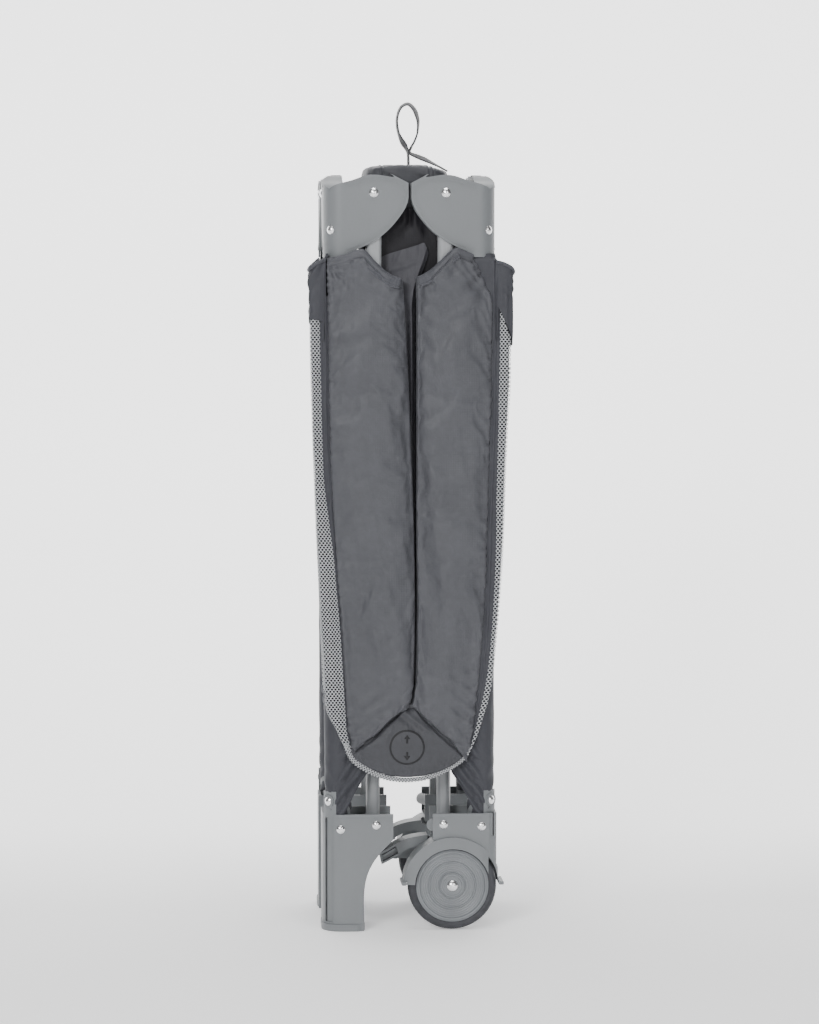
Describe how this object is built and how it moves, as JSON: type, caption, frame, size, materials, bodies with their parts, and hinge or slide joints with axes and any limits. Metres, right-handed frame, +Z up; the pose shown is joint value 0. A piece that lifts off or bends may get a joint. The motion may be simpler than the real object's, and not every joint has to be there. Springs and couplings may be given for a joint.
{
  "type": "folding playpen",
  "caption": "Travel playpen folded into an upright bundle: hinged top rails with padded covers, corner posts, raised floor hub with pull strap, feet on one end and wheels on the other.",
  "frame": {"origin": "on the floor under the middle of the folded bundle", "axes": "+Z up along the posts, -Y the long side with the front panel pair, +X towards the wheels"},
  "size_m": [0.199, 0.193, 0.835],
  "materials": {
    "grey_plastic": "satin moulded",
    "painted_tube": "satin grey paint",
    "chrome_rivet": "polished",
    "panel_fabric": "padded satin cloth",
    "wall_fabric": "gathered cloth and net",
    "webbing": "woven tape",
    "tyre_rubber": "matt",
    "dark_plastic": "textured",
    "button_plastic": "satin"
  },
  "bodies": {
    "corner_fl": {"corner_housing_fl": "grey_plastic", "post_fl": "painted_tube", "foot_fl": "grey_plastic", "rivets_fl": "chrome_rivet", "wall_fl": "wall_fabric"},
    "corner_fr": {"corner_housing_fr": "grey_plastic", "post_fr": "painted_tube", "foot_fr": "grey_plastic", "rivets_fr": "chrome_rivet", "wall_fr": "wall_fabric", "axle_front": "chrome_rivet"},
    "corner_rl": {"corner_housing_rl": "grey_plastic", "post_rl": "painted_tube", "foot_rl": "grey_plastic", "rivets_rl": "chrome_rivet", "wall_rl": "wall_fabric"},
    "corner_rr": {"corner_housing_rr": "grey_plastic", "post_rr": "painted_tube", "foot_rr": "grey_plastic", "rivets_rr": "chrome_rivet", "wall_rr": "wall_fabric", "axle_back": "chrome_rivet"},
    "arm_fl": {"base_arm_fl": "painted_tube"},
    "arm_fr": {"base_arm_fr": "painted_tube"},
    "arm_rl": {"base_arm_rl": "painted_tube"},
    "arm_rr": {"base_arm_rr": "painted_tube"},
    "hub": {"floor_hub": "dark_plastic", "hub_pins": "chrome_rivet", "hub_cover": "wall_fabric", "pull_strap": "webbing"},
    "rail_front_left": {"rail_front_left": "painted_tube", "cover_front_left": "panel_fabric"},
    "rail_front_right": {"rail_front_right": "painted_tube", "cover_front_right": "panel_fabric"},
    "latch_front": {"latch_front": "dark_plastic"},
    "button_front": {"latch_button_front": "button_plastic"},
    "rail_back_left": {"rail_back_left": "painted_tube", "cover_back_left": "panel_fabric"},
    "rail_back_right": {"rail_back_right": "painted_tube", "cover_back_right": "panel_fabric"},
    "latch_back": {"latch_back": "dark_plastic"},
    "button_back": {"latch_button_back": "button_plastic"},
    "rail_left_front": {"rail_left_front": "painted_tube", "cover_left_front": "panel_fabric"},
    "rail_left_back": {"rail_left_back": "painted_tube", "cover_left_back": "panel_fabric"},
    "latch_left": {"latch_left": "dark_plastic"},
    "button_left": {"latch_button_left": "button_plastic"},
    "rail_right_front": {"rail_right_front": "painted_tube", "cover_right_front": "panel_fabric"},
    "rail_right_back": {"rail_right_back": "painted_tube", "cover_right_back": "panel_fabric"},
    "latch_right": {"latch_right": "dark_plastic"},
    "button_right": {"latch_button_right": "button_plastic"},
    "wheel_front": {"wheel_rim_front": "grey_plastic", "tyre_front": "tyre_rubber"},
    "brake_front": {"brake_lever_front": "grey_plastic"},
    "wheel_back": {"wheel_rim_back": "grey_plastic", "tyre_back": "tyre_rubber"},
    "brake_back": {"brake_lever_back": "grey_plastic"}
  },
  "joints": [
    {"name": "unfold", "type": "hinge", "parent": "corner_fl", "child": "arm_fl", "pos_m": [-0.036, -0.054, 0.107], "axis": [-0.4061, 0.9138, 0], "range_deg": [0, 90]},
    {"name": "hub_level", "type": "hinge", "parent": "arm_fl", "child": "hub", "pos_m": [-0.036, -0.054, 0.69793], "axis": [-0.4061, 0.9138, 0], "range_deg": [-90, 0]},
    {"name": "arm_fr_swing", "type": "hinge", "parent": "hub", "child": "arm_fr", "pos_m": [0.036, -0.054, 0.69793], "axis": [-0.4061, -0.9138, 0], "range_deg": [0, 90]},
    {"name": "corner_fr_level", "type": "hinge", "parent": "arm_fr", "child": "corner_fr", "pos_m": [0.036, -0.054, 0.107], "axis": [-0.4061, -0.9138, 0], "range_deg": [-90, 0]},
    {"name": "arm_rl_swing", "type": "hinge", "parent": "hub", "child": "arm_rl", "pos_m": [-0.036, 0.054, 0.69793], "axis": [0.4061, 0.9138, 0], "range_deg": [0, 90]},
    {"name": "corner_rl_level", "type": "hinge", "parent": "arm_rl", "child": "corner_rl", "pos_m": [-0.036, 0.054, 0.107], "axis": [0.4061, 0.9138, 0], "range_deg": [-90, 0]},
    {"name": "arm_rr_swing", "type": "hinge", "parent": "hub", "child": "arm_rr", "pos_m": [0.036, 0.054, 0.69793], "axis": [0.4061, -0.9138, 0], "range_deg": [0, 90]},
    {"name": "corner_rr_level", "type": "hinge", "parent": "arm_rr", "child": "corner_rr", "pos_m": [0.036, 0.054, 0.107], "axis": [0.4061, -0.9138, 0], "range_deg": [-90, 0]},
    {"name": "rail_front_left_fold", "type": "hinge", "parent": "corner_fl", "child": "rail_front_left", "pos_m": [-0.036, -0.076, 0.743], "axis": [0, -1, 0], "range_deg": [0, 90]},
    {"name": "rail_front_right_fold", "type": "hinge", "parent": "corner_fr", "child": "rail_front_right", "pos_m": [0.036, -0.076, 0.743], "axis": [0, 1, 0], "range_deg": [0, 90]},
    {"name": "latch_front_level", "type": "hinge", "parent": "rail_front_left", "child": "latch_front", "pos_m": [-0.036, -0.076, 0.203], "axis": [0, -1, 0], "range_deg": [-90, 0]},
    {"name": "button_front_press", "type": "slide", "parent": "latch_front", "child": "button_front", "axis": [0, 1, 0], "range_m": [0, 0.003], "stiffness_N_per_m": 400},
    {"name": "rail_back_left_fold", "type": "hinge", "parent": "corner_rl", "child": "rail_back_left", "pos_m": [-0.036, 0.076, 0.743], "axis": [0, -1, 0], "range_deg": [0, 90]},
    {"name": "rail_back_right_fold", "type": "hinge", "parent": "corner_rr", "child": "rail_back_right", "pos_m": [0.036, 0.076, 0.743], "axis": [0, 1, 0], "range_deg": [0, 90]},
    {"name": "latch_back_level", "type": "hinge", "parent": "rail_back_left", "child": "latch_back", "pos_m": [-0.036, 0.076, 0.203], "axis": [0, -1, 0], "range_deg": [-90, 0]},
    {"name": "button_back_press", "type": "slide", "parent": "latch_back", "child": "button_back", "axis": [0, -1, 0], "range_m": [0, 0.003], "stiffness_N_per_m": 400},
    {"name": "rail_left_front_fold", "type": "hinge", "parent": "corner_fl", "child": "rail_left_front", "pos_m": [-0.076, -0.036, 0.743], "axis": [1, 0, 0], "range_deg": [0, 90]},
    {"name": "rail_left_back_fold", "type": "hinge", "parent": "corner_rl", "child": "rail_left_back", "pos_m": [-0.076, 0.036, 0.743], "axis": [-1, 0, 0], "range_deg": [0, 90]},
    {"name": "latch_left_level", "type": "hinge", "parent": "rail_left_front", "child": "latch_left", "pos_m": [-0.076, -0.036, 0.503], "axis": [1, 0, 0], "range_deg": [-90, 0]},
    {"name": "button_left_press", "type": "slide", "parent": "latch_left", "child": "button_left", "axis": [1, 0, 0], "range_m": [0, 0.003], "stiffness_N_per_m": 400},
    {"name": "rail_right_front_fold", "type": "hinge", "parent": "corner_fr", "child": "rail_right_front", "pos_m": [0.076, -0.036, 0.743], "axis": [1, 0, 0], "range_deg": [0, 90]},
    {"name": "rail_right_back_fold", "type": "hinge", "parent": "corner_rr", "child": "rail_right_back", "pos_m": [0.076, 0.036, 0.743], "axis": [-1, 0, 0], "range_deg": [0, 90]},
    {"name": "latch_right_level", "type": "hinge", "parent": "rail_right_front", "child": "latch_right", "pos_m": [0.076, -0.036, 0.503], "axis": [1, 0, 0], "range_deg": [-90, 0]},
    {"name": "button_right_press", "type": "slide", "parent": "latch_right", "child": "button_right", "axis": [-1, 0, 0], "range_m": [0, 0.003], "stiffness_N_per_m": 400},
    {"name": "wheel_front_spin", "type": "hinge", "parent": "corner_fr", "child": "wheel_front", "pos_m": [0.043, -0.077, 0.045], "axis": [0, 1, 0], "continuous": true},
    {"name": "brake_front_press", "type": "hinge", "parent": "corner_fr", "child": "brake_front", "pos_m": [0.0355, -0.038, 0.074], "axis": [0, -1, 0], "range_deg": [0, 18]},
    {"name": "wheel_back_spin", "type": "hinge", "parent": "corner_rr", "child": "wheel_back", "pos_m": [0.043, 0.077, 0.045], "axis": [0, 1, 0], "continuous": true},
    {"name": "brake_back_press", "type": "hinge", "parent": "corner_rr", "child": "brake_back", "pos_m": [0.0355, 0.038, 0.074], "axis": [0, -1, 0], "range_deg": [0, 18]}
  ],
  "couplings": [
    {"joint": "hub_level", "follows": "unfold", "ratio": -1},
    {"joint": "arm_fr_swing", "follows": "unfold", "ratio": 1},
    {"joint": "corner_fr_level", "follows": "unfold", "ratio": -1},
    {"joint": "arm_rl_swing", "follows": "unfold", "ratio": 1},
    {"joint": "corner_rl_level", "follows": "unfold", "ratio": -1},
    {"joint": "arm_rr_swing", "follows": "unfold", "ratio": 1},
    {"joint": "corner_rr_level", "follows": "unfold", "ratio": -1},
    {"joint": "rail_front_left_fold", "follows": "unfold", "ratio": 1},
    {"joint": "rail_front_right_fold", "follows": "unfold", "ratio": 1},
    {"joint": "latch_front_level", "follows": "unfold", "ratio": -1},
    {"joint": "rail_back_left_fold", "follows": "unfold", "ratio": 1},
    {"joint": "rail_back_right_fold", "follows": "unfold", "ratio": 1},
    {"joint": "latch_back_level", "follows": "unfold", "ratio": -1},
    {"joint": "rail_left_front_fold", "follows": "unfold", "ratio": 1},
    {"joint": "rail_left_back_fold", "follows": "unfold", "ratio": 1},
    {"joint": "latch_left_level", "follows": "unfold", "ratio": -1},
    {"joint": "rail_right_front_fold", "follows": "unfold", "ratio": 1},
    {"joint": "rail_right_back_fold", "follows": "unfold", "ratio": 1},
    {"joint": "latch_right_level", "follows": "unfold", "ratio": -1}
  ]
}
